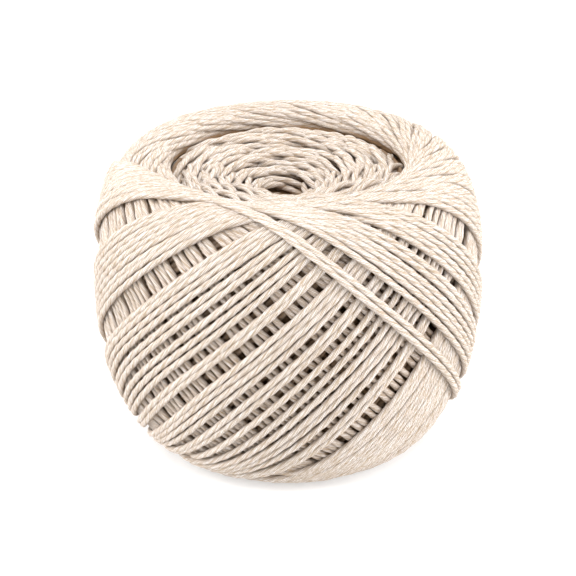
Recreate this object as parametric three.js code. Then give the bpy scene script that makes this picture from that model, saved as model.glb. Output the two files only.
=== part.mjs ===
// Cross-wound ball of cotton cord with a dished top and underside and a narrow centre hole.
// Millimetres, +Z up, front towards -Y. Azimuth runs from the front towards +X.
import * as THREE from 'three';

// Outer form
const BALL_WIDTH = 130;
const BALL_HEIGHT = 100;
const CREST_RADIUS = 43;
const FOOT_RADIUS = 42;
const UPPER_FULLNESS = 2.7;
const LOWER_FULLNESS = 1.95;

// Winding
const TURN_RADIUS = 45;
const LAST_TURN_DEG = -41.2;
const LAYER_STEP = 1.7;
const GROOVE_DEPTH = 2.3;
const GROOVE_HALF_DEG = 2.2;
const BAND_DEG = 7.5;
const BAND_SIDE_DEG = 1.4;
const BAND_RISE = 0.9;
const NARROW_BUNDLE_DEG = 6;
const WIDE_BUNDLE_DEG = 15;

// Window rows between the bundles of turns, as degrees back from the last turn.
const WINDOWS = [
  { back: 28, depth: 1.0 },
  { back: 45, depth: 0.7 },
  { back: 62.5, depth: 1.0 },
  { back: 80, depth: 0.6 },
  { back: 97, depth: 0.7 },
  { back: 108.5, depth: 0.9 },
  { back: 123, depth: 0.8 },
  { back: 131, depth: 0.8 },
  { back: 139.5, depth: 0.7 },
  { back: 156.5, depth: 0.7 },
  { back: 169.5, depth: 0.9 },
  { back: 185, depth: 0.6 },
  { back: 202, depth: 0.8 },
  { back: 221, depth: 0.7 },
  { back: 239, depth: 0.9 },
  { back: 258, depth: 0.7 },
  { back: 276, depth: 0.9 },
  { back: 295, depth: 0.7 },
  { back: 313, depth: 0.8 },
  { back: 333, depth: 0.7 },
];

// Rings of the rolled rim, from the crest down to the undercut line of the dish.
const RIM_RINGS = [
  { radius: 43, height: 100 },
  { radius: 40.2, height: 98.9 },
  { radius: 38.2, height: 96.6 },
  { radius: 37.2, height: 93.8 },
  { radius: 36.2, height: 92 },
];

// Rings of the swirled dish floor, from the undercut line in to the centre hole.
// Ridge is the rise from the grooves to the ridges, and turn the swirl in degrees since the ring before.
const DISH_RINGS = [
  { radius: 32.5, height: 91.6, ridge: 1.6, turn: 8 },
  { radius: 27, height: 90.7, ridge: 2, turn: 18 },
  { radius: 21.5, height: 89.7, ridge: 2, turn: 21 },
  { radius: 16, height: 88.7, ridge: 1.8, turn: 24 },
];
const HOLE_RINGS = [
  { radius: 10.5, height: 87.5, ridge: 1.4, turn: 26 },
  { radius: 6.2, height: 86.3, ridge: 0.8, turn: 20 },
  { radius: 4.2, height: 83.5, ridge: 0.2, turn: 4 },
  { radius: 3.6, height: 74, ridge: 0, turn: 0 },
];
const SWIRL_ARMS = 16;

// Rings of the underside, from the flat foot ring in to the middle.
const FOOT_RINGS = [
  { radius: 44, height: 0 },
  { radius: 39.5, height: 0 },
];
const UNDER_RINGS = [
  { radius: 36.8, height: 2.4 },
  { radius: 34.6, height: 5.6 },
  { radius: 27, height: 7.4 },
  { radius: 18, height: 8.8 },
  { radius: 9, height: 10 },
];
const UNDER_MIDDLE = 10.6;

const COTTON = 0xe8dbc9;
const DEG = Math.PI / 180;

// Outline of the ball from foot to crest as radius and height.
function outlineSamples(count) {
  const half = BALL_WIDTH / 2;
  const middle = BALL_HEIGHT / 2;
  const samples = [];
  for (let k = count; k > 0; k--) {
    const t = (k / count) * (Math.PI / 2);
    const radius = FOOT_RADIUS + (half - FOOT_RADIUS) * Math.cos(t) ** (2 / LOWER_FULLNESS);
    const height = middle - middle * Math.sin(t) ** (2 / LOWER_FULLNESS);
    samples.push({ radius, height });
  }
  for (let k = 0; k <= count; k++) {
    const t = (k / count) * (Math.PI / 2);
    const radius = CREST_RADIUS + (half - CREST_RADIUS) * Math.cos(t) ** (2 / UPPER_FULLNESS);
    const height = middle + middle * Math.sin(t) ** (2 / UPPER_FULLNESS);
    samples.push({ radius, height });
  }
  return samples;
}

// A turn lies on the surface as a geodesic that just touches the turning radius at top and bottom.
// The table gives, for each level of the outline, how far the turn has swung from its top point.
function windingTable() {
  const samples = outlineSamples(3000).filter((p) => p.radius > TURN_RADIUS);
  const table = [];
  let swing = 0;
  for (let k = samples.length - 1; k >= 0; k--) {
    const here = samples[k];
    if (table.length) {
      const last = samples[k + 1];
      const run = Math.hypot(here.radius - last.radius, here.height - last.height);
      const radius = (here.radius + last.radius) / 2;
      swing += (run * TURN_RADIUS) / (radius * Math.sqrt(radius ** 2 - TURN_RADIUS ** 2));
    }
    table.push({ swing, radius: here.radius, height: here.height });
  }
  for (const row of table) row.swing *= Math.PI / swing;
  for (let k = 0; k < table.length; k++) {
    const before = table[Math.max(k - 1, 0)];
    const after = table[Math.min(k + 1, table.length - 1)];
    const across = after.radius - before.radius;
    const up = after.height - before.height;
    const long = Math.hypot(across, up);
    table[k].outX = -up / long;
    table[k].outZ = across / long;
  }
  return table;
}

function atSwing(table, swing) {
  let low = 0;
  let high = table.length - 1;
  while (high - low > 1) {
    const mid = (low + high) >> 1;
    if (table[mid].swing <= swing) low = mid;
    else high = mid;
  }
  return swing - table[low].swing < table[high].swing - swing ? table[low] : table[high];
}

// Lines of the winding in degrees back from the last turn, each with its own raise or groove.
function windingLines() {
  const lines = [
    { back: 0, raise: BAND_RISE },
    { back: BAND_DEG, raise: BAND_RISE },
    { back: BAND_DEG + BAND_SIDE_DEG, raise: -0.6 * GROOVE_DEPTH },
    { back: BAND_DEG + 3 * BAND_SIDE_DEG, raise: 0 },
  ];
  const edges = [];
  for (const { back, depth } of WINDOWS) edges.push({ back, raise: -GROOVE_DEPTH * depth });
  edges.push({ back: 360 - BAND_SIDE_DEG, raise: 0 });
  for (const edge of edges) {
    const start = lines[lines.length - 1];
    const from = start.back + (start.raise < 0 ? GROOVE_HALF_DEG : 0);
    const to = edge.back - (edge.raise < 0 ? GROOVE_HALF_DEG : 0);
    const width = to - from;
    if (width < NARROW_BUNDLE_DEG) {
      lines.push({ back: (from + to) / 2, raise: 0.2 });
    } else {
      if (from > start.back) lines.push({ back: from, raise: 0 });
      if (width > WIDE_BUNDLE_DEG) lines.push({ back: (from + to) / 2, raise: 0.3 });
      lines.push({ back: to, raise: 0 });
    }
    lines.push(edge);
  }
  return lines.filter((line, k) => k === 0 || line.back - lines[k - 1].back > 0.5);
}

class Skin {
  constructor() {
    this.points = [];
    this.faces = [];
  }

  point(azimuth, radius, height) {
    this.points.push(radius * Math.sin(azimuth), -radius * Math.cos(azimuth), height);
    return { index: this.points.length / 3 - 1, azimuth };
  }

  face(a, b, c) {
    this.faces.push(a.index, b.index, c.index);
  }

  // Joins an outer ring to an inner one, with faces up on the top side and down underneath.
  join(outer, inner, up) {
    let o = 0;
    let i = 0;
    const angle = (ring, k) => ring[k % ring.length].azimuth + 2 * Math.PI * Math.floor(k / ring.length);
    while (o < outer.length || i < inner.length) {
      const outerNext = angle(outer, o + 1) - angle(outer, 0);
      const innerNext = angle(inner, i + 1) - angle(inner, 0);
      const a = outer[o % outer.length];
      const b = inner[i % inner.length];
      const stepOuter = i >= inner.length || (o < outer.length && outerNext <= innerNext + 1e-9);
      const c = stepOuter ? outer[(o + 1) % outer.length] : inner[(i + 1) % inner.length];
      if (up) this.face(a, c, b);
      else this.face(a, b, c);
      if (stepOuter) o++;
      else i++;
    }
  }

  fan(ring, middle, up) {
    for (let k = 0; k < ring.length; k++) {
      const next = ring[(k + 1) % ring.length];
      if (up) this.face(ring[k], next, middle);
      else this.face(next, ring[k], middle);
    }
  }
}

// Outer winding: each point is the crossing of a turn's rising part and another turn's falling part.
function windOutside(skin) {
  const table = windingTable();
  const lines = windingLines();
  const count = lines.length;
  const ends = 2 * TURN_RADIUS;
  const net = [];
  for (let j = 0; j < count; j++) {
    net.push([]);
    for (let i = j; i <= j + count; i++) {
      const rising = lines[i % count];
      const falling = lines[j];
      const risingBack = rising.back + (i >= count ? 360 : 0);
      const swing = ((risingBack - falling.back) / 2) * DEG;
      const azimuth = (LAST_TURN_DEG + (risingBack + falling.back) / 2) * DEG;
      const at = atSwing(table, swing);
      const onTop = i < count ? falling : rising;
      const age = (rising.back + falling.back) / 360;
      const fade = Math.min(1, (8 * (at.radius - TURN_RADIUS)) / ends);
      const raise = fade * (onTop.raise + LAYER_STEP * (1 - age) * Math.sin(swing));
      net[j].push(skin.point(azimuth, at.radius + raise * at.outX, at.height + raise * at.outZ));
    }
  }
  const vertex = (i, j) => (j < count ? net[j][i - j] : net[j - count][i - j]);
  for (let j = 0; j < count; j++) {
    for (let i = j; i < j + count; i++) {
      const corner = vertex(i, j);
      const upRight = vertex(i + 1, j);
      if (i > j) {
        const along = vertex(i, j + 1);
        const far = vertex(i + 1, j + 1);
        if (i < count) {
          skin.face(corner, upRight, far);
          skin.face(corner, far, along);
        } else {
          skin.face(corner, upRight, along);
          skin.face(upRight, far, along);
        }
      } else {
        skin.face(corner, upRight, vertex(i + 1, j + 1));
      }
    }
  }
  // The last diagonal closes against the bottom points.
  const top = lines.map((line, j) => net[j][0]);
  const bottom = lines.map((line, j) => net[j][count]);
  for (let j = 0; j < count; j++) {
    skin.face(vertex(j + count, j), vertex(j + 1 + count, j + 1), vertex(j + count, j + 1));
  }
  return { top, bottom };
}

function ringLike(skin, from, { radius, height }) {
  return from.map(({ azimuth }) => skin.point(azimuth, radius, height));
}

function evenRing(skin, count, offset, { radius, height, ridge = 0 }) {
  const ring = [];
  const perArm = count / SWIRL_ARMS;
  for (let k = 0; k < count; k++) {
    const rise = -0.5 * ridge * Math.cos((2 * Math.PI * k) / perArm);
    ring.push(skin.point(offset + (2 * Math.PI * k) / count, radius, height + rise));
  }
  return ring;
}

function dishTop(skin, top) {
  let outer = top;
  for (const ring of RIM_RINGS) {
    const inner = ringLike(skin, outer, ring);
    skin.join(outer, inner, true);
    outer = inner;
  }
  let swirl = outer[0].azimuth;
  for (const [rings, count] of [[DISH_RINGS, 4 * SWIRL_ARMS], [HOLE_RINGS, 2 * SWIRL_ARMS]]) {
    for (const ring of rings) {
      swirl -= ring.turn * DEG;
      const inner = evenRing(skin, count, swirl, ring);
      skin.join(outer, inner, true);
      outer = inner;
    }
  }
  const depth = HOLE_RINGS[HOLE_RINGS.length - 1].height;
  skin.fan(outer, skin.point(0, 0, depth), true);
}

function dishUnder(skin, bottom) {
  let outer = bottom;
  for (const ring of FOOT_RINGS) {
    const inner = ringLike(skin, outer, ring);
    skin.join(outer, inner, false);
    outer = inner;
  }
  for (const ring of UNDER_RINGS) {
    const inner = evenRing(skin, 2 * SWIRL_ARMS, outer[0].azimuth, ring);
    skin.join(outer, inner, false);
    outer = inner;
  }
  skin.fan(outer, skin.point(0, 0, UNDER_MIDDLE), false);
}

function woundBall() {
  const skin = new Skin();
  const { top, bottom } = windOutside(skin);
  dishTop(skin, top);
  dishUnder(skin, bottom);
  const geometry = new THREE.BufferGeometry();
  geometry.setAttribute('position', new THREE.Float32BufferAttribute(skin.points, 3));
  geometry.setIndex(skin.faces);
  geometry.computeVertexNormals();
  const material = new THREE.MeshStandardMaterial({ color: COTTON, roughness: 0.95, metalness: 0 });
  const mesh = new THREE.Mesh(geometry, material);
  mesh.name = 'wound_ball';
  return mesh;
}

const ball = new THREE.Group();
ball.name = 'cord_ball';
ball.add(woundBall());
export default ball;
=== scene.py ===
"""Cross-wound ball of natural cotton macrame cord, on a plain studio floor.

The cord is one length wound turn by turn. Each turn swings round the ball as a geodesic that just
touches a turning circle at the top and at the bottom. How deep a turn lies follows from the turns
that were laid after it. Only the stretches that show are made, each as a twisted three-ply cord.
"""

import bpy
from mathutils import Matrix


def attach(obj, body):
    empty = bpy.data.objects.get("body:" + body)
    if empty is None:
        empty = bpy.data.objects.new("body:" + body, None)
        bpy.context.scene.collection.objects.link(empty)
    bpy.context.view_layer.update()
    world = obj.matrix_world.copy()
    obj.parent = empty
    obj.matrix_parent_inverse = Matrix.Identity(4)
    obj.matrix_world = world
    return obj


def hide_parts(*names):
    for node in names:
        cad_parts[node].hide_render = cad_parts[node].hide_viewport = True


bl_info = {
    "name": "Macrame Cord Ball",
    "version": (1, 0, 0),
    "blender": (4, 5, 0),
    "location": "View3D > Sidebar > Cord Ball",
    "description": "Winds a ball of three-ply cotton cord turn by turn and sets it on a studio floor",
    "category": "Object",
}

import math
from dataclasses import dataclass

import bpy
import bmesh
import numpy as np
from bpy.props import FloatProperty, FloatVectorProperty, IntProperty, PointerProperty
from mathutils import Vector

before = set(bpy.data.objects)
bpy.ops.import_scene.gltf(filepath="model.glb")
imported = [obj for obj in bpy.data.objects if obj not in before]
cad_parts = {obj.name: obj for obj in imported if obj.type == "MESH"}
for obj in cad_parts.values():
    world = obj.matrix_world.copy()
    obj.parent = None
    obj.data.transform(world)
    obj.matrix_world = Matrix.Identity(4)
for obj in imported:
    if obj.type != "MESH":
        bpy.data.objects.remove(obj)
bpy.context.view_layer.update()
MM = 0.001
GOLDEN_SHARE = 0.618034
GOLDEN_ANGLE = 137.508

# The tables are in millimetres. A point of an outline is a radius and a height.

# Rolled rim, from the crease of the dish out to the crest.
RIM_ROLL = ((36.8, 91.5), (37.3, 94.0), (38.4, 96.9), (40.3, 99.0), (43.0, 100.0))
# Foot, from the flat ring in to the crease underneath.
FOOT_ROLL = ((42.0, 0.0), (39.5, 0.0), (37.6, 2.0), (36.6, 4.6))
# Upper side of the cord in the dish, and lower side of the cord underneath.
DISH_FLOOR = (
    (1.5, 77.0), (3.5, 80.6), (5.5, 83.6), (8.0, 86.0), (11.5, 88.0), (16.0, 89.7), (21.0, 91.4),
    (27.0, 93.0), (31.0, 93.9), (33.6, 93.7), (35.4, 92.4), (36.6, 91.0),
)
UNDER_FLOOR = ((1.5, 13.6), (6.0, 11.6), (11.0, 10.2), (17.0, 8.8), (24.0, 7.2), (31.0, 5.6), (35.5, 4.6))
# Body under the turns: its inset from the outline, and its ends under the dish and over the underside.
BODY_INSET = 8.6
BODY_TOP = ((0.0, 80.0), (4.0, 80.5), (30.0, 84.0))
BODY_UNDER = ((28.0, 14.5), (4.0, 17.0), (0.0, 17.2))

# Window rows between bundles of turns: degrees back from the last turn, and width in degrees.
RISING_WINDOWS = (
    (36.9, 13.0), (71.4, 9.6), (88.6, 1.6), (97.5, 1.8), (101.9, 1.0), (107.3, 3.4), (116.9, 4.6),
    (131.5, 2.7), (139.5, 2.8), (145.7, 3.0), (150.6, 1.8), (155.8, 0.8), (161.3, 1.0), (165.3, 3.0),
    (178.8, 7.6), (215.0, 4.2), (226.0, 4.0), (242.0, 6.0), (260.0, 3.0), (277.0, 5.0), (296.0, 4.0),
    (314.0, 8.0), (338.0, 4.5),
)
FALLING_WINDOWS = (
    (7.2, 5.7), (27.5, 2.4), (48.5, 10.3), (71.0, 1.2), (96.0, 3.0), (118.0, 4.0), (137.0, 3.0),
    (151.0, 6.0), (176.0, 3.0), (190.0, 2.0), (207.0, 5.0), (222.0, 1.2), (229.0, 2.6), (238.0, 1.0),
    (246.5, 2.3), (256.0, 3.0), (263.0, 1.2), (272.0, 2.6), (281.0, 1.0), (289.0, 2.8), (298.0, 1.4),
    (307.0, 3.0), (315.0, 1.0), (323.0, 2.2), (332.0, 2.8), (341.0, 1.0), (350.0, 2.0),
)
# The round before has the same rows, stretched, shifted, narrower and clear of the ends of the round.
OLDER_RISING = (0.93, 17)
OLDER_FALLING = (1.04, 31)
OLDER_WIDTH = 0.8
CLEAR_ENDS = 4

# Distance from the crease, out over the rim, by which a share of the legs has come up.
COMING_UP = ((0.0, 1.0), (0.2, 2.5), (0.5, 7.0), (0.67, 11.5), (0.85, 18.5), (1.0, 24.0))
# Radius that a leg turns at, by the distance from the crease where it comes up.
COMING_UP_RADIUS = ((1.0, 36.7), (6.0, 37.6), (12.0, 38.6))

# An arc in the dish: its rise over its neighbours and its dives under them, by the distance along it.
ARC_LIFT = (
    (-15.0, -6.5), (-10.0, -3.8), (-7.0, -2.2), (-4.0, -0.8), (0.0, 0.5), (4.0, 0.6), (7.0, -0.2),
    (10.0, -1.8), (14.0, -4.2), (19.0, -7.5),
)
# Turns that run along the crease: radius, and how far they are sunk.
CREASE_TURNS = ((34.8, 1.4), (36.2, 0.2), (37.2, -1.2))

# Shape of the cord's section and the hand of its lay.
PLIES = 3
PLY_ROUNDNESS = 0.7
TWIST_HAND = -1
# Sections of cord that is seen only in the windows and in the shade underneath.
WINDOW_SECTIONS = {"section_points": 6, "stride": 0.0015}
SHADE_SECTIONS = {"section_points": 6, "stride": 0.002}

# Soft lamps in metres and watts: name, place, size and power.
LAMPS = (
    ("soft_top", (-0.05, -0.3, 0.9), 0.7, 7.0),
    ("soft_left", (-0.9, -0.1, 0.35), 0.6, 7.5),
    ("soft_right", (0.9, -0.1, 0.35), 0.6, 8.0),
)
LAMP_TARGET = Vector((0, 0, 0.05))
# The camera in metres: it looks down by an angle, from a distance to the middle of the ball.
CAMERA_DOWN = math.radians(26.2)
CAMERA_AWAY = 0.55
CAMERA_PIVOT = Vector((0, 0, 0.05))
CAMERA_TARGET = Vector((0, 0, 0.0493))


class BallSizes(bpy.types.PropertyGroup):
    width: FloatProperty(
        name="Width", description="Width of the ball at its middle", default=0.130, unit="LENGTH")
    height: FloatProperty(
        name="Height", description="Height of the ball", default=0.100, unit="LENGTH")
    crest: FloatProperty(
        name="Crest radius", description="Radius of the highest ring of the rim",
        default=0.043, unit="LENGTH")
    foot: FloatProperty(
        name="Foot radius", description="Radius of the ring the ball stands on",
        default=0.042, unit="LENGTH")
    upper_fullness: FloatProperty(
        name="Upper fullness", description="How square the upper shoulder is", default=2.7)
    lower_fullness: FloatProperty(
        name="Lower fullness", description="How square the lower shoulder is", default=1.95)
    turning: FloatProperty(
        name="Turning radius", description="Circle that the outer turns touch at top and bottom",
        default=0.045, unit="LENGTH")
    last_turn: FloatProperty(
        name="Last turn", description="Azimuth where the last turn leaves the rim",
        default=math.radians(-41.2), subtype="ANGLE")
    rim_run: FloatProperty(
        name="Run along the rim", description="Angle that a turn runs along the rim before it falls",
        default=math.radians(8.8), subtype="ANGLE")
    turns: IntProperty(
        name="Turns in a round", description="Turns that bring the winding once round the ball",
        default=96)


class CordSizes(bpy.types.PropertyGroup):
    thickness: FloatProperty(
        name="Cord thickness", description="Diameter of the laid cord", default=0.0023, unit="LENGTH")
    lay: FloatProperty(
        name="Lay", description="Length of one full twist of the plies", default=0.020, unit="LENGTH")
    groove: FloatProperty(
        name="Groove radius", description="Radius of the cord at the groove between two plies",
        default=0.00084, unit="LENGTH")
    stride: FloatProperty(
        name="Stride", description="Distance between two sections along the cord",
        default=0.0013, unit="LENGTH")


class BallColours(bpy.types.PropertyGroup):
    cotton: FloatVectorProperty(
        name="Cotton", description="Main colour of the cord",
        subtype="COLOR", size=3, default=(0.95, 0.925, 0.925))
    # Warmer streaks of the cotton, also the colour of the painted shade between the yarns and plies, and
    # the sheen's tint
    warm_cotton_and_shade: FloatVectorProperty(
        name="Warm cotton", description="Warmer streaks in the cord",
        subtype="COLOR", size=3, default=(0.42, 0.31, 0.205))
    # Colour of the painted shade on cord deep inside the winding, in the creases and the pit, and on the
    # flanks
    depth: FloatVectorProperty(
        name="Depth", description="Cord deep inside the winding",
        subtype="COLOR", size=3, default=(0.24, 0.14, 0.07))
    floor: FloatVectorProperty(
        name="Floor", description="Studio floor", subtype="COLOR", size=3, default=(0.62, 0.62, 0.62))


def ease(x, start, end):
    """Rises softly from 0 at the start to 1 at the end."""
    x = np.clip((x - start) / (end - start), 0.0, 1.0)
    return x * x * (3.0 - 2.0 * x)


def from_table(x, table):
    """Second column of a table at values of its first column."""
    return np.interp(x, *np.array(table).T)


def summed(steps):
    """Running sum that starts at nought."""
    return np.concatenate([[0], np.cumsum(steps)])


def bell(distances):
    """Weights of a bell curve at the distances, with a sum of one."""
    weights = np.exp(-0.5 * distances ** 2)
    return weights / weights.sum()


def cord_rows(azimuth, r, z, depth, out_r, out_z):
    """Rows of place and depth in metres, and the direction outwards, for points along a cord."""
    east, south = np.sin(azimuth), -np.cos(azimuth)
    columns = (r * east * MM, r * south * MM, z * MM, depth * MM, out_r * east, out_r * south, out_z)
    return np.stack(np.broadcast_arrays(*columns), 1)


class Outline:
    """Side of the ball from the crease of the dish over the rim and down to the crease underneath.

    Works in millimetres. A place on it is given by s, the distance from the crease of the dish.
    """

    SPACING = 0.4
    SHOULDER_POINTS = 1200
    SMOOTHED_OVER = 7

    def __init__(self, sizes):
        half, height = sizes.width / MM / 2, sizes.height / MM
        crest, foot, middle = sizes.crest / MM, sizes.foot / MM, height / 2
        rise = np.linspace(math.pi / 2, 0, self.SHOULDER_POINTS)
        upper_r = crest + (half - crest) * np.cos(rise) ** (2 / sizes.upper_fullness)
        upper_z = middle + (height - middle) * np.sin(rise) ** (2 / sizes.upper_fullness)
        fall = np.linspace(0, math.pi / 2, self.SHOULDER_POINTS)[1:]
        lower_r = foot + (half - foot) * np.cos(fall) ** (2 / sizes.lower_fullness)
        lower_z = middle - middle * np.sin(fall) ** (2 / sizes.lower_fullness)
        rim, under = np.array(RIM_ROLL[:-1]), np.array(FOOT_ROLL[1:])
        r = np.concatenate([rim[:, 0], upper_r, lower_r, under[:, 0]])
        z = np.concatenate([rim[:, 1], upper_z, lower_z, under[:, 1]])
        along = summed(np.hypot(np.diff(r), np.diff(z)))
        self.count = int(along[-1] / self.SPACING) + 1
        self.s = np.arange(self.count) * self.SPACING
        self.r = self.smoothed(np.interp(self.s, along, r))
        self.z = self.smoothed(np.interp(self.s, along, z))
        dr, dz = np.gradient(self.r), np.gradient(self.z)
        long = np.hypot(dr, dz)
        self.out_r, self.out_z = -dz / long, dr / long

    def smoothed(self, line):
        line = np.pad(line, self.SMOOTHED_OVER // 2, "edge")
        return np.convolve(line, np.ones(self.SMOOTHED_OVER) / self.SMOOTHED_OVER, "valid")

    def from_ends(self, s):
        """Distance from the crease of the dish, and from the crease underneath."""
        return s, self.s[-1] - s


@dataclass
class Line:
    """A stretch of cord as it is laid. Each array has a value for each point along it."""

    falling: np.ndarray
    age: np.ndarray
    azimuth: np.ndarray
    s: np.ndarray
    swing: np.ndarray
    extra: np.ndarray
    level: np.ndarray = None


class Winding:
    """Lays the turns on the outline of the ball. Works in millimetres and degrees.

    Every turn is a falling leg and a rising leg, and a leg swings halfway round the ball. The age of a
    leg is how far the winding has gone on since it was laid: one degree for each degree that the later
    turns have moved round the ball. A leg's level is the height of its middle over the outline.
    """

    POINT_SPACING = 0.6
    FINE_POINTS = 16000
    SHORTEST_RUN = 6
    # Between these radii a leg goes over from its own turning circle to the ball's
    CIRCLE_RADII = (44.0, 54.0)
    # Limit to the swing near the turning circle, in radians for a millimetre of the outline
    MOST_SWING = 0.25
    # Thickness that a layer of turns adds
    PITCH = 1.9
    # How far the crossings move back and on between rim and foot, and the swing over which they drift
    SWAY_BACK = 6.0
    DRIFT = 7.0
    DRIFTS_OVER = (90, 145)
    # Unevenness of the hand: from turn to turn, along a leg as waves and size, and in height
    SCATTER = 0.16
    WAVER = ((2, 0.2), (7, 0.1))
    UNEVEN_LEVEL = 0.1
    # Turns over which the windows are evened out at the rims
    EVENED_OVER, EVENED_REACH = 5.0, 15
    # Distances from the creases over which the windows open, at the rim and at the foot
    OPEN_AT_RIM, OPEN_AT_FOOT = (12, 25), (9, 16)
    # Turns that are younger than this are one joined line. Its last part lies a little proud, apart
    # from the rim, where it is pressed in
    NEWEST = 24.0
    BAND_LIFT, BAND_AGES = 0.3, (12, 6)
    RIM_PRESS, PRESSED_OVER = 0.8, (8, 24)
    # Ages over which the legs of the last round go over from the ball's turning circle to their own
    OWN_CIRCLE_AGES = (24, 84)
    # End of the cord: points, degrees a point, bend into the dish and dive
    TAIL_POINTS, TAIL_RUN, TAIL_BEND, TAIL_DIVE = 45, 0.8, 0.004, 2.2
    # A leg starts this far before it comes up and this many layers down, and rises over a distance
    HIDDEN_START = 7.0
    HIDDEN_LAYERS, RISES_OVER = 1.3, (-4, 4)
    # Share in which a leg sinks evenly: the least, and what is added away from the creases
    EVEN_LEAST, EVEN_MORE, EVEN_OVER = 0.25, 0.5, (16, 30)
    # How far a step spreads along a leg in points, and the softness of steps and levels
    STEP_SPREAD, STEP_SOFTNESS, LEVEL_SOFTNESS = 5, 2.0, 2.4
    # Ages of the round before, and distances from the crease, that no later turn covers at the rim
    BARE_AGES, BARE_OVER = (95, 75), (5, 14)
    # Height map of what lies on top: cells round the ball, and strips across a cord
    ROUND_CELLS = 900
    STRIPS = np.linspace(-1, 1, 13) * 0.94
    # A point shows if it is this near to the top, and so do some points before and after it
    SHOWS_WITHIN, SHOWN_BESIDE = 0.06, 7
    # Shade of the creases, as a depth and the distance it reaches
    CREASE_DEPTH, CREASE_REACH = 5.0, 4.0

    def __init__(self, sizes, cord):
        self.outline = Outline(sizes)
        self.turning = sizes.turning / MM
        self.last = math.degrees(sizes.last_turn)
        self.rim_run = math.degrees(sizes.rim_run)
        self.turns = sizes.turns
        self.radius = cord.thickness / MM / 2
        self.dice = np.random.default_rng(7)
        self.fine = np.linspace(0, self.outline.s[-1], self.FINE_POINTS)
        self.fine_r = np.interp(self.fine, self.outline.s, self.outline.r)
        self.middle = int(np.argmax(self.fine_r))
        self.scale, self.middle_swing = 1.0, 90.0
        s, swing = self.leg(self.turning, self.turning)
        self.scale = 180 / (swing[-1] - swing[0])
        self.middle_swing = self.scale * (90.0 - swing[0])
        self.legs, newest = self.plan_turns()
        self.newest = self.newest_turns(newest)
        self.settle()

    def leg(self, top, foot):
        """Distance along the outline and swing of a leg that turns at the given radii."""
        r = self.fine_r
        upper = np.arange(len(r)) < self.middle
        on_ball = ease(r, *self.CIRCLE_RADII)
        circle = on_ball * self.turning + (1 - on_ball) * np.where(upper, top, foot)
        tight = r < circle + 1e-3
        first = np.flatnonzero(tight & upper)
        last = np.flatnonzero(tight & ~upper)
        first = first[-1] + 1 if len(first) else 0
        last = last[0] if len(last) else len(r)
        s, r, circle = self.fine[first:last], r[first:last], circle[first:last]
        rate = np.minimum(circle / (r * np.sqrt(r * r - circle ** 2)), self.MOST_SWING)
        swing = np.degrees(summed((rate[1:] + rate[:-1]) / 2 * np.diff(s))) * self.scale
        swing += self.middle_swing - swing[self.middle - first]
        length = summed(np.hypot(np.diff(s), r[1:] * np.radians(np.diff(swing))))
        even = np.arange(0, length[-1], self.POINT_SPACING)
        return np.interp(even, length, s), np.interp(even, length, swing)

    def places(self, windows):
        """Degrees back from the last turn for each turn of a round, with the windows left open."""
        windows = sorted(windows)
        pace = (360 - sum(width for _, width in windows)) / self.turns
        places, at, passed = [], 0.0, 0
        for _ in range(self.turns):
            places.append(at)
            at += pace
            while passed < len(windows) and at - pace / 2 >= windows[passed][0] - windows[passed][1] / 2:
                at += windows[passed][1]
                passed += 1
        return np.array(places) * 360 / at + self.dice.normal(0, self.SCATTER, self.turns)

    def evened(self, places):
        """The same places with the windows closed by moving the turns beside them."""
        reach = self.EVENED_REACH
        steps = np.diff(np.concatenate([places, [places[0] + 360]]))
        around = np.concatenate([steps[-reach:], steps, steps[:reach]])
        soft = np.convolve(around, bell(np.arange(-reach, reach + 1) / self.EVENED_OVER), "valid")
        even = summed(soft)[:-1]
        return even + (places - even).mean()

    def sway(self, swing):
        return self.SWAY_BACK * (1 - np.cos(np.radians(np.clip(swing, 0, 180))))

    def drift(self, swing):
        return self.DRIFT * ease(np.clip(swing, 0, 180), *self.DRIFTS_OVER)

    def waver(self, swing):
        """Small wanderings of a leg to its sides, slow and quick."""
        starts = self.dice.uniform(0, 360, len(self.WAVER))
        return sum(size * np.sin(np.radians(waves * swing + start))
                   for (waves, size), start in zip(self.WAVER, starts))

    def falling_azimuth(self, age, swing):
        return self.last + age + swing - self.sway(swing)

    def rising_azimuth(self, age, swing):
        return self.last - self.rim_run + age + 360 - swing + self.drift(swing)

    def close_up(self, age, even_age, s):
        """Moves a leg sideways near the rims, where the windows between the bundles close."""
        inside, outside = self.outline.from_ends(s)
        windows = ease(inside, *self.OPEN_AT_RIM) * ease(outside, *self.OPEN_AT_FOOT)
        return (even_age - age) * (1 - windows)

    def one_leg(self, falling, age, even_age, share):
        """A leg on its own. It comes up at the rim if it falls, and at the foot if it rises.

        The share sets where it comes up between its neighbours, so that each part is just full.
        """
        comes_up = from_table(share, COMING_UP)
        turn = from_table(comes_up, COMING_UP_RADIUS)
        if age < 360:
            turn = self.turning - (self.turning - turn) * float(ease(age, *self.OWN_CIRCLE_AGES))
        s, swing = self.leg(turn if falling else self.turning, self.turning if falling else turn)
        near = self.outline.from_ends(s)[0 if falling else 1]
        keep = near > comes_up - self.HIDDEN_START
        s, swing, near = s[keep], swing[keep], near[keep]
        dive = -self.HIDDEN_LAYERS * self.PITCH * (1 - ease(near - comes_up, *self.RISES_OVER))
        azimuth = (self.falling_azimuth if falling else self.rising_azimuth)(age, swing)
        azimuth = azimuth + self.waver(swing) + self.close_up(age, even_age, s)
        extra = dive + self.dice.normal(0, self.UNEVEN_LEVEL)
        return Line(np.full(len(s), falling), np.full(len(s), age), azimuth, s, swing, extra)

    def older(self, windows, stretch, shift):
        """Window rows of the round before."""
        room = 360 - 2 * CLEAR_ENDS
        return [((back * stretch + shift) % room + CLEAR_ENDS, width * OLDER_WIDTH)
                for back, width in windows]

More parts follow.
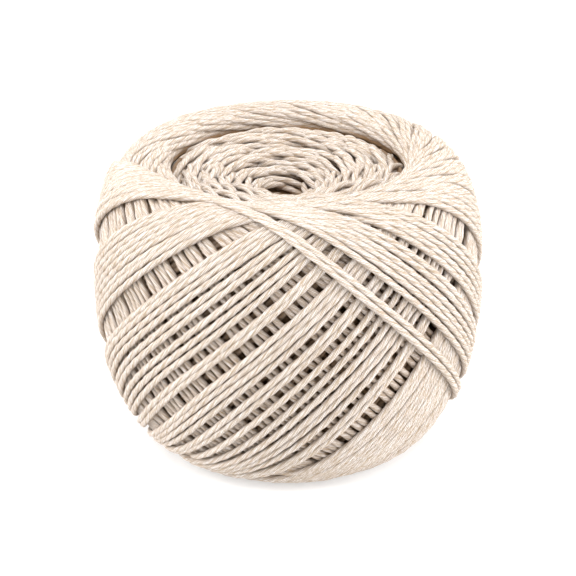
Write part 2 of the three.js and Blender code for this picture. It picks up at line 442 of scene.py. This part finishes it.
    def plan_turns(self):
        """Single legs of both rounds from old to young, and the ages of both legs of the newest turns."""
        legs, newest = [], []
        rounds = (
            (360, self.older(RISING_WINDOWS, *OLDER_RISING), self.older(FALLING_WINDOWS, *OLDER_FALLING)),
            (0, RISING_WINDOWS, FALLING_WINDOWS),
        )
        for back, rising, falling in rounds:
            up, down = self.places(rising), self.places(falling)
            even_up, even_down = self.evened(up), self.evened(down)
            for i in range(self.turns - 1, -1, -1):
                if back == 0 and max(up[i], down[i]) < self.NEWEST:
                    newest.append((down[i], up[i]))
                    continue
                share = (i * GOLDEN_SHARE) % 1
                legs.append(self.one_leg(True, down[i] + back, even_down[i] + back, share))
                legs.append(self.one_leg(False, up[i] + back, even_up[i] + back, (share + 0.5) % 1))
        return legs, newest

    def newest_turns(self, turns):
        """The last few turns as one line, from the oldest of them to the end of the cord."""
        s, swing = self.leg(self.turning, self.turning)
        parts = []

        def add(falling, age, azimuth, at, swung):
            parts.append(np.broadcast_arrays(falling, age, azimuth, at, swung))

        def run_along(falling, age, start, end, at, swung):
            count = max(2, int(math.radians(abs(end - start)) * self.turning / self.POINT_SPACING))
            add(falling, age, np.linspace(start, end, count + 2)[1:-1], at, swung)

        hold = np.sin(np.radians(swing))
        for k, (down, up) in enumerate(turns):
            fall = self.falling_azimuth(down + 360 * k, swing) + self.waver(swing) * hold
            climb = (self.rising_azimuth(up + 360 * k, swing) + self.waver(swing) * hold)[::-1]
            add(True, down, fall, s, swing)
            run_along(False, up, fall[-1], climb[0], s[-1], 180.0)
            add(False, up, climb, s[::-1], swing[::-1])
            if k + 1 < len(turns):
                next_down = turns[k + 1][0]
                next_start = self.falling_azimuth(next_down + 360 * (k + 1), 0.0)
                run_along(True, next_down, climb[-1], next_start, s[0], 0.0)
        # The end of the cord runs on round the rim and dives into the dish
        tail = np.arange(1, self.TAIL_POINTS + 1)
        add(True, turns[-1][1], climb[-1] + tail * self.TAIL_RUN, s[0] - tail ** 2 * self.TAIL_BEND, 0.0)
        falling, age, azimuth, s, swing = (np.concatenate(column) for column in zip(*parts))
        extra = self.BAND_LIFT * ease(age, *self.BAND_AGES)
        extra[-len(tail):] -= self.TAIL_DIVE * self.PITCH * ease(tail, 0, self.TAIL_POINTS)
        extra -= self.RIM_PRESS * (1 - ease(s, *self.PRESSED_OVER))
        return Line(falling, age, azimuth, s, swing, extra)

    def soften(self, values, width):
        reach = int(3 * width / self.POINT_SPACING) + 1
        weights = bell(np.arange(-reach, reach + 1) * self.POINT_SPACING / width)
        return np.convolve(np.pad(values, reach, "edge"), weights, "valid")

    def highest_near(self, values, reach):
        best = values.copy()
        for k in range(1, reach + 1):
            best[k:] = np.maximum(best[k:], values[:-k])
            best[:-k] = np.maximum(best[:-k], values[k:])
        return best

    def level_of(self, line):
        """Level of a line from the ages of the turns that cross it.

        Away from the rims a line sinks evenly as it gets older. Near the rims it lies in steps, one
        for each layer of turns over it.
        """
        swing = np.clip(line.swing, 0, 180)
        gap = 2 * swing - self.sway(swing) - self.drift(swing) + self.rim_run
        own = line.age % 360
        other = np.where(line.falling, own + gap, own - gap) % 360
        covers = 2.0 * (line.age >= 360) + (other < own - 1e-6)
        sloping = 1 - (own + other) / 360 - covers
        stepped = self.soften(self.highest_near(covers, self.STEP_SPREAD), self.STEP_SOFTNESS)
        inside, outside = self.outline.from_ends(line.s)
        open_side = ease(inside, *self.EVEN_OVER) * ease(outside, *self.EVEN_OVER)
        free = self.EVEN_LEAST + self.EVEN_MORE * open_side
        # An old turn comes up to the wall of the rim where no later turn covers it
        near = np.where(line.falling, inside, outside)
        bare = ease(line.age - 360, *self.BARE_AGES) * (line.age >= 360)
        bare = bare * (1 - ease(near, *self.BARE_OVER))
        stepped = stepped * (1 - bare)
        level = self.PITCH * (free * sloping - (1 - free) * stepped) + line.extra
        return self.soften(level, self.LEVEL_SOFTNESS) - self.radius

    def strips(self, line):
        """Cells of the height map under each strip along a line, and the level of the strip's top."""
        r = np.interp(line.s, self.outline.s, self.outline.r)
        ds, da = np.gradient(line.s), np.radians(np.gradient(line.azimuth)) * r
        long = np.hypot(ds, da) + 1e-9
        for side in self.STRIPS * self.radius:
            col = np.round((line.s - da / long * side) / self.outline.SPACING).astype(int)
            row = (line.azimuth + np.degrees(ds / long * side / r)) / (360 / self.ROUND_CELLS)
            cells = np.round(row).astype(int) % self.ROUND_CELLS, np.clip(col, 0, self.outline.count - 1)
            yield cells, line.level + math.sqrt(self.radius ** 2 - side ** 2)

    def settle(self):
        """Gives each line its level, and keeps the highest of them in a map to tell what shows."""
        self.top = np.full((self.ROUND_CELLS, self.outline.count), -99.0)
        for line in [*self.legs, self.newest]:
            line.level = self.level_of(line)
            for cells, crown in self.strips(line):
                np.maximum.at(self.top, cells, crown)

    def shown(self, line):
        """The stretches of a line that show, as arrays of rows for their points."""
        seen = np.zeros(len(line.s), bool)
        for cells, crown in self.strips(line):
            seen |= crown >= self.top[cells] - self.SHOWS_WITHIN
        seen = self.highest_near(seen.astype(int), self.SHOWN_BESIDE)
        edges = np.flatnonzero(np.diff(np.concatenate([[0], seen, [0]])))
        rows = self.rows(line)
        return [rows[first:end] for first, end in zip(edges[::2], edges[1::2])
                if end - first >= self.SHORTEST_RUN]

    def rows(self, line):
        """Rows of a line's middle, its depth and the way outwards. It is kept above the ground."""
        r, z, out_r, out_z = (
            np.interp(line.s, self.outline.s, side)
            for side in (self.outline.r, self.outline.z, self.outline.out_r, self.outline.out_z))
        r, z = r + line.level * out_r, z + line.level * out_z
        near = np.minimum(*self.outline.from_ends(line.s))
        # The creases get extra depth, for painted shade there
        crease = self.CREASE_DEPTH * (1 - ease(near, 0, self.CREASE_REACH))
        depth = crease - line.level - self.radius
        return cord_rows(np.radians(line.azimuth), r, np.maximum(z, self.radius), depth, out_r, out_z)

    def shown_legs(self, falling, youngest, oldest):
        """The stretches that show of the falling or rising legs of an age."""
        legs = [leg for leg in self.legs if leg.falling[0] == falling and youngest <= leg.age[0] < oldest]
        return [run for leg in legs for run in self.shown(leg)]


class TurningArcs:
    """Inner turns that end in the dish or underneath. Works in millimetres and degrees.

    Each arc climbs over its neighbours, turns close to the axis and dives under the arcs that turn
    farther out. Upward is 1 for the dish and -1 for the underside.
    """

    OUTERMOST = 36.4
    CLOSEST = 1.4
    # An arc runs from its start to a multiple of its radius and a bit more, up to the longest
    START, LENGTHS, LENGTH_MORE, LONGEST = -11.0, 1.4, 5.0, 16.0
    SPACING = 0.6
    # Unevenness of the arcs: in radius, place round the axis, place along the arc and height
    UNEVEN_RADIUS, UNEVEN_PLACE, UNEVEN_START, UNEVEN_HEIGHT = 0.8, 5.0, 1.5, 0.55
    # How much an arc bends open: to one side, least and most, and to both
    SWIRL, OPENING = (0.004, 0.02), 0.01
    TIGHTEST = 0.8
    # Shade of the arcs near the axis and of the turns in the crease
    PIT_SHADE, PIT_EDGE, CREASE_DEPTH = 0.42, 4.0, 4.5
    CREASE_WAVE = 0.4

    def __init__(self, floor, upward, cord, seed):
        self.floor = floor
        self.upward = upward
        self.radius = cord.thickness / MM / 2
        self.dice = np.random.default_rng(seed)

    def arc(self, k, count):
        """One arc of those that fill the floor evenly, each a golden angle on from the one before."""
        dice = self.dice
        ring = self.OUTERMOST * math.sqrt((k + 0.5) / count)
        near = max(self.CLOSEST, ring + dice.normal(0, self.UNEVEN_RADIUS))
        middle = math.radians(k * GOLDEN_ANGLE + dice.normal(0, self.UNEVEN_PLACE) / (1 + ring / 10))
        skew = dice.uniform(-self.UNEVEN_START, self.UNEVEN_START)
        x = np.arange(self.START, min(self.LONGEST, self.LENGTHS * near + self.LENGTH_MORE), self.SPACING)
        bow = near + dice.uniform(*self.SWIRL) * x * np.abs(x) + self.OPENING * x ** 2
        bow = np.maximum(bow, self.TIGHTEST)
        lift = from_table(x + skew, ARC_LIFT) + dice.normal(0, self.UNEVEN_HEIGHT)
        level = from_table(near, self.floor)
        pit = max(height for _, height in self.floor) - self.PIT_EDGE - level
        # Depth for painted shade: under the neighbouring arcs, and more in the pit near the axis
        depth = np.maximum(0, -lift) + self.PIT_SHADE * np.maximum(0, pit)
        z = level + (lift - self.radius) * self.upward
        azimuth, r = middle + np.arctan2(x, bow), np.sqrt(bow ** 2 + x ** 2)
        return cord_rows(azimuth, r, z, depth, 0.0, self.upward)

    def crease_turn(self, ring, sunk):
        """A turn that runs along the crease, painted with the crease's shade."""
        around = np.radians(np.arange(0, 366, 1.5))
        r = ring + self.CREASE_WAVE * np.sin(3 * around + ring)
        dip = sunk + self.radius - self.CREASE_WAVE * np.sin(2 * around + ring)
        z = self.floor[-1][1] - self.upward * dip
        return cord_rows(around, r, z, self.CREASE_DEPTH, 0.0, self.upward)

    def runs(self, count):
        arcs = [self.arc(k, count) for k in range(count)]
        return arcs + [self.crease_turn(*turn) for turn in CREASE_TURNS]


def even_steps(points, stride):
    """The same line with its points a stride apart, and the distance along it at each of them."""
    along = summed(np.linalg.norm(np.diff(points[:, :3], axis=0), axis=1))
    count = max(3, int(round(along[-1] / stride)) + 1)
    even = np.linspace(0, along[-1], count)
    return np.stack([np.interp(even, along, column) for column in points.T], 1), even


def ply_section(name, cord, count):
    """Closed curve of the cord's section, with a lobe for each of its plies."""
    radius, groove = cord.thickness / 2, cord.groove
    curve = bpy.data.curves.new(name, "CURVE")
    curve.dimensions = "2D"
    spline = curve.splines.new("POLY")
    spline.points.add(count - 1)
    for k, point in enumerate(spline.points):
        turn = 2 * math.pi * k / count
        lobe = (0.5 + 0.5 * math.cos(PLIES * turn)) ** PLY_ROUNDNESS
        reach = groove + (radius - groove) * lobe
        point.co = (reach * math.cos(turn), reach * math.sin(turn), 0, 1)
    spline.use_cyclic_u = True
    section = bpy.data.objects.new(name, curve)
    bpy.context.scene.collection.objects.link(section)
    return section


def twisted_cord(name, runs, section_points=9, stride=None):
    """Sweeps the plied section along each run, twisting it as it goes, and maps the cord's surface."""
    cord = bpy.context.scene.cord_ball_cord
    dice = np.random.default_rng(len(runs))
    section = ply_section(name + "_section", cord, section_points)
    curve = bpy.data.curves.new(name, "CURVE")
    curve.dimensions = "3D"
    curve.twist_mode = "MINIMUM"
    curve.bevel_mode = "OBJECT"
    curve.bevel_object = section
    lengths, rows = [], []
    for run in runs:
        points, along = even_steps(run, stride or cord.stride)
        spline = curve.splines.new("POLY")
        spline.points.add(len(points) - 1)
        spline.points.foreach_set("co", np.insert(points[:, :3], 3, 1, axis=1).ravel())
        twist = TWIST_HAND * 2 * math.pi * along / cord.lay
        spline.points.foreach_set("tilt", twist + dice.uniform(0, 2 * math.pi))
        lengths.append(along + dice.uniform(0, 1))
        rows.append(points)
    piece = bpy.data.objects.new(name, curve)
    bpy.context.scene.collection.objects.link(piece)
    bpy.ops.object.select_all(action="DESELECT")
    bpy.context.view_layer.objects.active = piece
    piece.select_set(True)
    bpy.ops.object.convert(target="MESH")
    piece = bpy.context.view_layer.objects.active
    bpy.data.objects.remove(section)
    mesh = piece.data
    mesh.name = name
    map_length(mesh, np.concatenate(lengths), section_points)
    map_shade(mesh, np.repeat(np.concatenate(rows), section_points, axis=0))
    close_ends(mesh)
    face_outwards(mesh)
    mesh.shade_smooth()
    return piece


def vertex_places(mesh):
    places = np.zeros(len(mesh.vertices) * 3)
    mesh.vertices.foreach_get("co", places)
    return places.reshape(-1, 3)


def map_length(mesh, along, section_points):
    """Stretches the sweep's UV map so that its first number is the distance along the cord."""
    layer = mesh.uv_layers[0]
    layer.name = "cord"
    corners = np.zeros(len(mesh.loops), int)
    mesh.loops.foreach_get("vertex_index", corners)
    places = np.zeros(2 * len(corners))
    layer.data.foreach_get("uv", places)
    places[::2] = along[corners // section_points]
    layer.data.foreach_set("uv", places)


def map_shade(mesh, rows):
    """Stores how deep each point lies, in millimetres, and how far it faces away from the outside, for
    painted shade.
    """
    away = vertex_places(mesh) - rows[:, :3]
    facing = np.einsum("ij,ij->i", away, rows[:, 4:]) / (np.linalg.norm(away, axis=1) + 1e-9)
    values = {"sunk": rows[:, 3] / MM, "flank": 1 - ease(facing, 0, 0.75)}
    for name, value in values.items():
        mesh.attributes.new(name, "FLOAT", "POINT").data.foreach_set("value", value)


def close_ends(mesh):
    """Fills the open ends of the swept cords."""
    shape = bmesh.new()
    shape.from_mesh(mesh)
    bmesh.ops.holes_fill(shape, edges=[edge for edge in shape.edges if edge.is_boundary], sides=0)
    shape.to_mesh(mesh)
    shape.free()


def face_outwards(mesh):
    """Turns the faces round if the mesh is inside out."""
    mesh.calc_loop_triangles()
    corners = np.zeros(len(mesh.loop_triangles) * 3, int)
    mesh.loop_triangles.foreach_get("vertices", corners)
    a, b, c = vertex_places(mesh)[corners.reshape(-1, 3)].transpose(1, 0, 2)
    if np.einsum("ij,ij->i", a, np.cross(b, c)).sum() < 0:
        mesh.flip_normals()


def fill_inputs(tree, made, inputs):
    """Sets the inputs of a node to numbers and colours, or links them to sockets."""
    for key, value in inputs.items():
        if isinstance(value, bpy.types.NodeSocket):
            tree.links.new(value, made.inputs[key])
        else:
            made.inputs[key].default_value = value


def node(tree, kind, at, inputs=None, **settings):
    made = tree.nodes.new(kind)
    made.location = at
    for key, value in settings.items():
        setattr(made, key, value)
    fill_inputs(tree, made, inputs or {})
    return made


def maths(tree, operation, at, *values):
    """Result of a math node whose values are numbers or sockets."""
    inputs = dict(enumerate(values))
    return node(tree, "ShaderNodeMath", at, inputs, operation=operation).outputs["Value"]


def colour_mix(tree, at, share, first, second):
    """Result of a node that mixes two colours, given as colours or sockets."""
    inputs = {"Factor": share, "A": first, "B": second}
    return node(tree, "ShaderNodeMix", at, inputs, data_type="RGBA").outputs["Result"]


def opaque(colour, strength=1.0):
    return (*[strength * part for part in colour], 1)


def matt_cotton(name):
    """A new material with the dull sheen of cotton, its node tree and its shader."""
    material = bpy.data.materials.new(name)
    material.use_nodes = True
    tree = material.node_tree
    shader = tree.nodes["Principled BSDF"]
    fill_inputs(tree, shader, {
        "Roughness": 0.92,
        "Specular IOR Level": 0.25,
        "Sheen Weight": 0.25,
        "Sheen Roughness": 0.6,
        "Sheen Tint": opaque(bpy.context.scene.cord_ball_colours.warm_cotton_and_shade),
    })
    return material, tree, shader


def painted_shade_cotton():
    """Mottled cotton painted dark with the shade deep in the winding, for the body under the turns."""
    material, tree, shader = matt_cotton("painted_shade_cotton")
    depth = bpy.context.scene.cord_ball_colours.depth
    place = node(tree, "ShaderNodeTexCoord", (-1500, 0)).outputs["Object"]
    mottled = node(tree, "ShaderNodeTexNoise", (-900, 0), {"Vector": place, "Scale": 400})
    colour = colour_mix(tree, (-500, 0), mottled.outputs["Fac"], opaque(depth, 0.6), opaque(depth, 1.4))
    fill_inputs(tree, shader, {"Base Color": colour})
    return material


class CordCotton:
    """Cotton of the cord, with fibres, yarns and plies that follow its lay.

    The UV map's first number runs along the cord in metres, its second once round the plies.
    """

    # Fibres: how often they change in a metre of cord, and round it
    FIBRES_ALONG, FIBRES_AROUND = 420, 6.0
    FIBRE_SHADE = 0.9
    # Yarns of the plies: how many round the cord, and how far the fibres push them aside
    YARNS = 14
    YARN_WANDER = 5.0
    # Painted shade in the furrows between the yarns and in the grooves between the plies
    YARN_SHADE = 0.75
    GROOVE_SHADE = 0.35
    # Patches of slightly darker cotton over the whole ball
    PATCHES_IN_A_METRE = 55
    PATCH_SHADE = 0.2
    # Depth in millimetres where the painted shade of the depth begins and where it is full
    SHADE_BEGINS, SHADE_FULL = 1.0, 5.5
    # Painted shade on the flanks of each cord, where its neighbours press close
    FLANK_SHADE = 0.18
    RELIEF = 0.0003

    def __init__(self, name):
        colours = bpy.context.scene.cord_ball_colours
        self.material, self.tree, shader = matt_cotton(name)
        place = node(self.tree, "ShaderNodeTexCoord", (-1500, 0))
        split = node(self.tree, "ShaderNodeSeparateXYZ", (-1500, -200), {"Vector": place.outputs["UV"]})
        turn = self.maths("MULTIPLY", (-1300, -200), split.outputs["Y"], 2 * math.pi)
        fibres = self.fibres(split.outputs["X"], turn)
        ridge = self.yarn_ridges(turn, fibres)
        shade = self.cord_shade(turn, fibres, ridge, place.outputs["Object"])
        cotton, warm_and_shade, depth = opaque(colours.cotton), opaque(colours.warm_cotton_and_shade), opaque(colours.depth)
        cotton = colour_mix(self.tree, (450, 150), shade, cotton, warm_and_shade)
        # Mixes in the painted shade of the depth and of the flanks
        tone = colour_mix(self.tree, (650, 200), self.painted_shade_share(), cotton, depth)
        fill_inputs(self.tree, shader, {"Base Color": tone, "Normal": self.relief(fibres, ridge)})

    def maths(self, operation, at, *values):
        return maths(self.tree, operation, at, *values)

    def rise(self, at, value, start, end, way="SMOOTHSTEP"):
        """Result of a node that goes from 0 at the start to 1 at the end."""
        inputs = {"Value": value, "From Min": start, "From Max": end}
        made = node(self.tree, "ShaderNodeMapRange", at, inputs, interpolation_type=way)
        return made.outputs["Result"]

    def fibres(self, along, turn):
        """Noise drawn out along the cord."""
        across = {}
        for axis, operation, height in (("Y", "SINE", -150), ("Z", "COSINE", -300)):
            side = self.maths(operation, (-1200, height), turn)
            across[axis] = self.maths("MULTIPLY", (-1100, height), side, self.FIBRES_AROUND)
        along = self.maths("MULTIPLY", (-1100, 0), along, self.FIBRES_ALONG)
        place = node(self.tree, "ShaderNodeCombineXYZ", (-900, -100), {"X": along, **across})
        inputs = {"Vector": place.outputs["Vector"], "Scale": 1.0, "Detail": 4, "Roughness": 0.7}
        return node(self.tree, "ShaderNodeTexNoise", (-700, -100), inputs).outputs["Fac"]

    def yarn_ridges(self, turn, fibres):
        """Height of the yarns from 0 to 1. They run with the twist, moved a little by the fibres."""
        around = self.maths("MULTIPLY", (-700, -350), turn, self.YARNS)
        yarns = self.maths("MULTIPLY_ADD", (-500, -300), fibres, self.YARN_WANDER, around)
        return self.maths("MULTIPLY_ADD", (-200, -300), self.maths("SINE", (-350, -300), yarns), 0.5, 0.5)

    def cord_shade(self, turn, fibres, ridge, place):
        """Share of the warmer colour: painted shade between the yarns and plies, and streaks of the fibres
        and patches in the cotton itself.
        """
        # Painted shade in the furrows between the yarns
        furrow = self.maths("SUBTRACT", (-100, -400), 1.0, ridge)
        shade = self.maths("MULTIPLY", (0, -300), furrow, self.YARN_SHADE)
        # Painted shade in the grooves between the plies
        plies = self.maths("COSINE", (-350, -500), self.maths("MULTIPLY", (-500, -500), turn, PLIES))
        groove = self.rise((-200, -500), plies, -0.5, -1.0)
        shade = self.maths("MULTIPLY_ADD", (100, -400), groove, self.GROOVE_SHADE, shade)
        streak = self.rise((-200, 100), fibres, 0.56, 0.33, "LINEAR")
        shade = self.maths("MULTIPLY_ADD", (200, -200), streak, self.FIBRE_SHADE, shade)
        inputs = {"Vector": place, "Scale": self.PATCHES_IN_A_METRE, "Detail": 3}
        patches = node(self.tree, "ShaderNodeTexNoise", (-700, 400), inputs).outputs["Fac"]
        shade = self.maths("SUBTRACT", (250, -100), shade, self.PATCH_SHADE / 2)
        return self.maths("MULTIPLY_ADD", (300, 0), patches, self.PATCH_SHADE, shade)

    def painted_shade_share(self):
        """Share of the painted shade: deep between the neighbours, and on the flanks of the cord."""
        sunk = node(self.tree, "ShaderNodeAttribute", (250, 400), attribute_name="sunk").outputs["Fac"]
        flank = node(self.tree, "ShaderNodeAttribute", (250, 600), attribute_name="flank").outputs["Fac"]
        deep = self.rise((450, 400), sunk, self.SHADE_BEGINS, self.SHADE_FULL)
        return self.maths("MULTIPLY_ADD", (550, 600), flank, self.FLANK_SHADE, deep)

    def relief(self, fibres, ridge):
        """Normals that are bumped by the fibres and, half as much, by the yarns."""
        height = self.maths("MULTIPLY_ADD", (200, -600), ridge, 0.5, fibres)
        inputs = {"Strength": 1.0, "Distance": self.RELIEF, "Height": height}
        return node(self.tree, "ShaderNodeBump", (450, -300), inputs).outputs["Normal"]


def finish_piece(piece, material):
    piece.data.materials.clear()
    piece.data.materials.append(material)
    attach(piece, "root")
    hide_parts("wound_ball")


def cord_piece(name, runs, **sections):
    if not runs:
        raise RuntimeError(name + " has no turns to show")
    finish_piece(twisted_cord(name, runs, **sections), CordCotton(name + "_cotton").material)


def mesh_piece(name, shape):
    """Makes a bmesh an object of the scene, and frees it."""
    mesh = bpy.data.meshes.new(name)
    shape.to_mesh(mesh)
    shape.free()
    piece = bpy.data.objects.new(name, mesh)
    bpy.context.scene.collection.objects.link(piece)
    return piece


class CORDBALL_OT_inner_winding(bpy.types.Operator):
    """Adds the body of the winding that lies under the turns that show"""

    bl_idname = "cord_ball.inner_winding"
    bl_label = "Inner winding"

    def execute(self, context):
        outline = Outline(context.scene.cord_ball_sizes)
        r = outline.r - BODY_INSET * outline.out_r
        z = outline.z - BODY_INSET * outline.out_z
        picks = range(6, outline.count - 6, 9)
        line = [*BODY_TOP, *[(float(r[k]), float(z[k])) for k in picks], *BODY_UNDER]
        shape = bmesh.new()
        verts = [shape.verts.new(Vector((radius, 0, height)) * MM) for radius, height in line]
        edges = [shape.edges.new(pair) for pair in zip(verts, verts[1:])]
        bmesh.ops.spin(
            shape, geom=verts + edges, cent=(0, 0, 0), axis=(0, 0, 1), dvec=(0, 0, 0),
            angle=2 * math.pi, steps=96, use_merge=True, use_duplicate=False,
        )
        bmesh.ops.remove_doubles(shape, verts=shape.verts, dist=1e-6)
        bmesh.ops.recalc_face_normals(shape, faces=shape.faces)
        piece = mesh_piece("inner_winding", shape)
        face_outwards(piece.data)
        piece.data.shade_smooth()
        finish_piece(piece, painted_shade_cotton())
        return {"FINISHED"}


class CORDBALL_OT_outer_turns(bpy.types.Operator):
    """Adds the outer turns, the last turns over them and the turns that show through the windows"""

    bl_idname = "cord_ball.outer_turns"
    bl_label = "Outer turns"

    def execute(self, context):
        ball = Winding(context.scene.cord_ball_sizes, context.scene.cord_ball_cord)
        cord_piece("last_turns", ball.shown(ball.newest))
        for when, youngest, oldest, sections in (
            ("late", 0, 165, {}),
            ("early", 165, 360, {}),
            ("under", 360, math.inf, WINDOW_SECTIONS),
        ):
            cord_piece("rising_turns_" + when, ball.shown_legs(False, youngest, oldest), **sections)
            cord_piece("falling_turns_" + when, ball.shown_legs(True, youngest, oldest), **sections)
        return {"FINISHED"}


class CORDBALL_OT_dish_turns(bpy.types.Operator):
    """Adds the nested turning arcs in the dished top and underneath"""

    bl_idname = "cord_ball.dish_turns"
    bl_label = "Dish turns"

    def execute(self, context):
        cord = context.scene.cord_ball_cord
        dish = TurningArcs(DISH_FLOOR, 1, cord, seed=11)
        cord_piece("dish_turns", dish.runs(300))
        underside = TurningArcs(UNDER_FLOOR, -1, cord, seed=12)
        cord_piece("underside_turns", underside.runs(170), **SHADE_SECTIONS)
        return {"FINISHED"}


class CORDBALL_OT_stage(bpy.types.Operator):
    """Adds the studio floor, the soft lights and the camera"""

    bl_idname = "cord_ball.stage"
    bl_label = "Studio"

    def execute(self, context):
        self.add_floor(context.scene)
        self.add_light(context.scene)
        self.add_camera(context.scene)
        context.scene.view_settings.view_transform = "Standard"
        return {"FINISHED"}

    def add_floor(self, scene):
        shape = bmesh.new()
        bmesh.ops.create_grid(shape, x_segments=1, y_segments=1, size=3.0)
        floor = mesh_piece("studio_floor", shape)
        paint = bpy.data.materials.new("floor_paint")
        paint.use_nodes = True
        fill_inputs(paint.node_tree, paint.node_tree.nodes["Principled BSDF"], {
            "Base Color": opaque(scene.cord_ball_colours.floor),
            "Roughness": 0.8,
            "Emission Color": (1, 1, 1, 1),
            "Emission Strength": 0.42,
        })
        floor.data.materials.append(paint)

    def add_light(self, scene):
        world = bpy.data.worlds.new("studio_air")
        world.use_nodes = True
        air = world.node_tree.nodes["Background"]
        fill_inputs(world.node_tree, air, {"Color": (1, 1, 1, 1), "Strength": 1.14})
        scene.world = world
        for name, place, size, power in LAMPS:
            lamp = bpy.data.lights.new(name, "AREA")
            lamp.size = size
            lamp.energy = power
            self.place(scene, bpy.data.objects.new(name, lamp), Vector(place), LAMP_TARGET)

    def add_camera(self, scene):
        camera = bpy.data.cameras.new("camera")
        camera.sensor_width = 36
        camera.lens = 101.4
        camera.clip_start = 0.01
        eye = bpy.data.objects.new("camera", camera)
        back = Vector((0, -math.cos(CAMERA_DOWN), math.sin(CAMERA_DOWN)))
        self.place(scene, eye, CAMERA_PIVOT + CAMERA_AWAY * back, CAMERA_TARGET)
        scene.camera = eye

    def place(self, scene, thing, place, target):
        """Puts a lamp or the camera in its place, turned to what it is aimed at."""
        thing.location = place
        thing.rotation_euler = (target - place).to_track_quat("-Z", "Y").to_euler()
        scene.collection.objects.link(thing)


class CORDBALL_PT_panel(bpy.types.Panel):
    """Lists the pieces and the sizes of the cord ball"""

    bl_idname = "CORDBALL_PT_panel"
    bl_label = "Macrame cord ball"
    bl_space_type = "VIEW_3D"
    bl_region_type = "UI"
    bl_category = "Cord Ball"

    def draw(self, context):
        for group_name, group in GROUPS:
            box = self.layout.box()
            for name in group.__annotations__:
                box.prop(getattr(context.scene, group_name), name)
        for operator in OPERATORS:
            self.layout.operator(operator.bl_idname)


OPERATORS = (
    CORDBALL_OT_stage,
    CORDBALL_OT_inner_winding,
    CORDBALL_OT_outer_turns,
    CORDBALL_OT_dish_turns,
)
GROUPS = (
    ("cord_ball_sizes", BallSizes),
    ("cord_ball_cord", CordSizes),
    ("cord_ball_colours", BallColours),
)


def register():
    for name, group in GROUPS:
        bpy.utils.register_class(group)
        setattr(bpy.types.Scene, name, PointerProperty(type=group))
    for operator in OPERATORS:
        bpy.utils.register_class(operator)
    bpy.utils.register_class(CORDBALL_PT_panel)


def unregister():
    bpy.utils.unregister_class(CORDBALL_PT_panel)
    for operator in reversed(OPERATORS):
        bpy.utils.unregister_class(operator)
    for name, group in reversed(GROUPS):
        delattr(bpy.types.Scene, name)
        bpy.utils.unregister_class(group)


def main():
    register()
    bpy.ops.cord_ball.stage()
    bpy.ops.cord_ball.inner_winding()
    bpy.ops.cord_ball.outer_turns()
    bpy.ops.cord_ball.dish_turns()


if __name__ == "__main__":
    main()
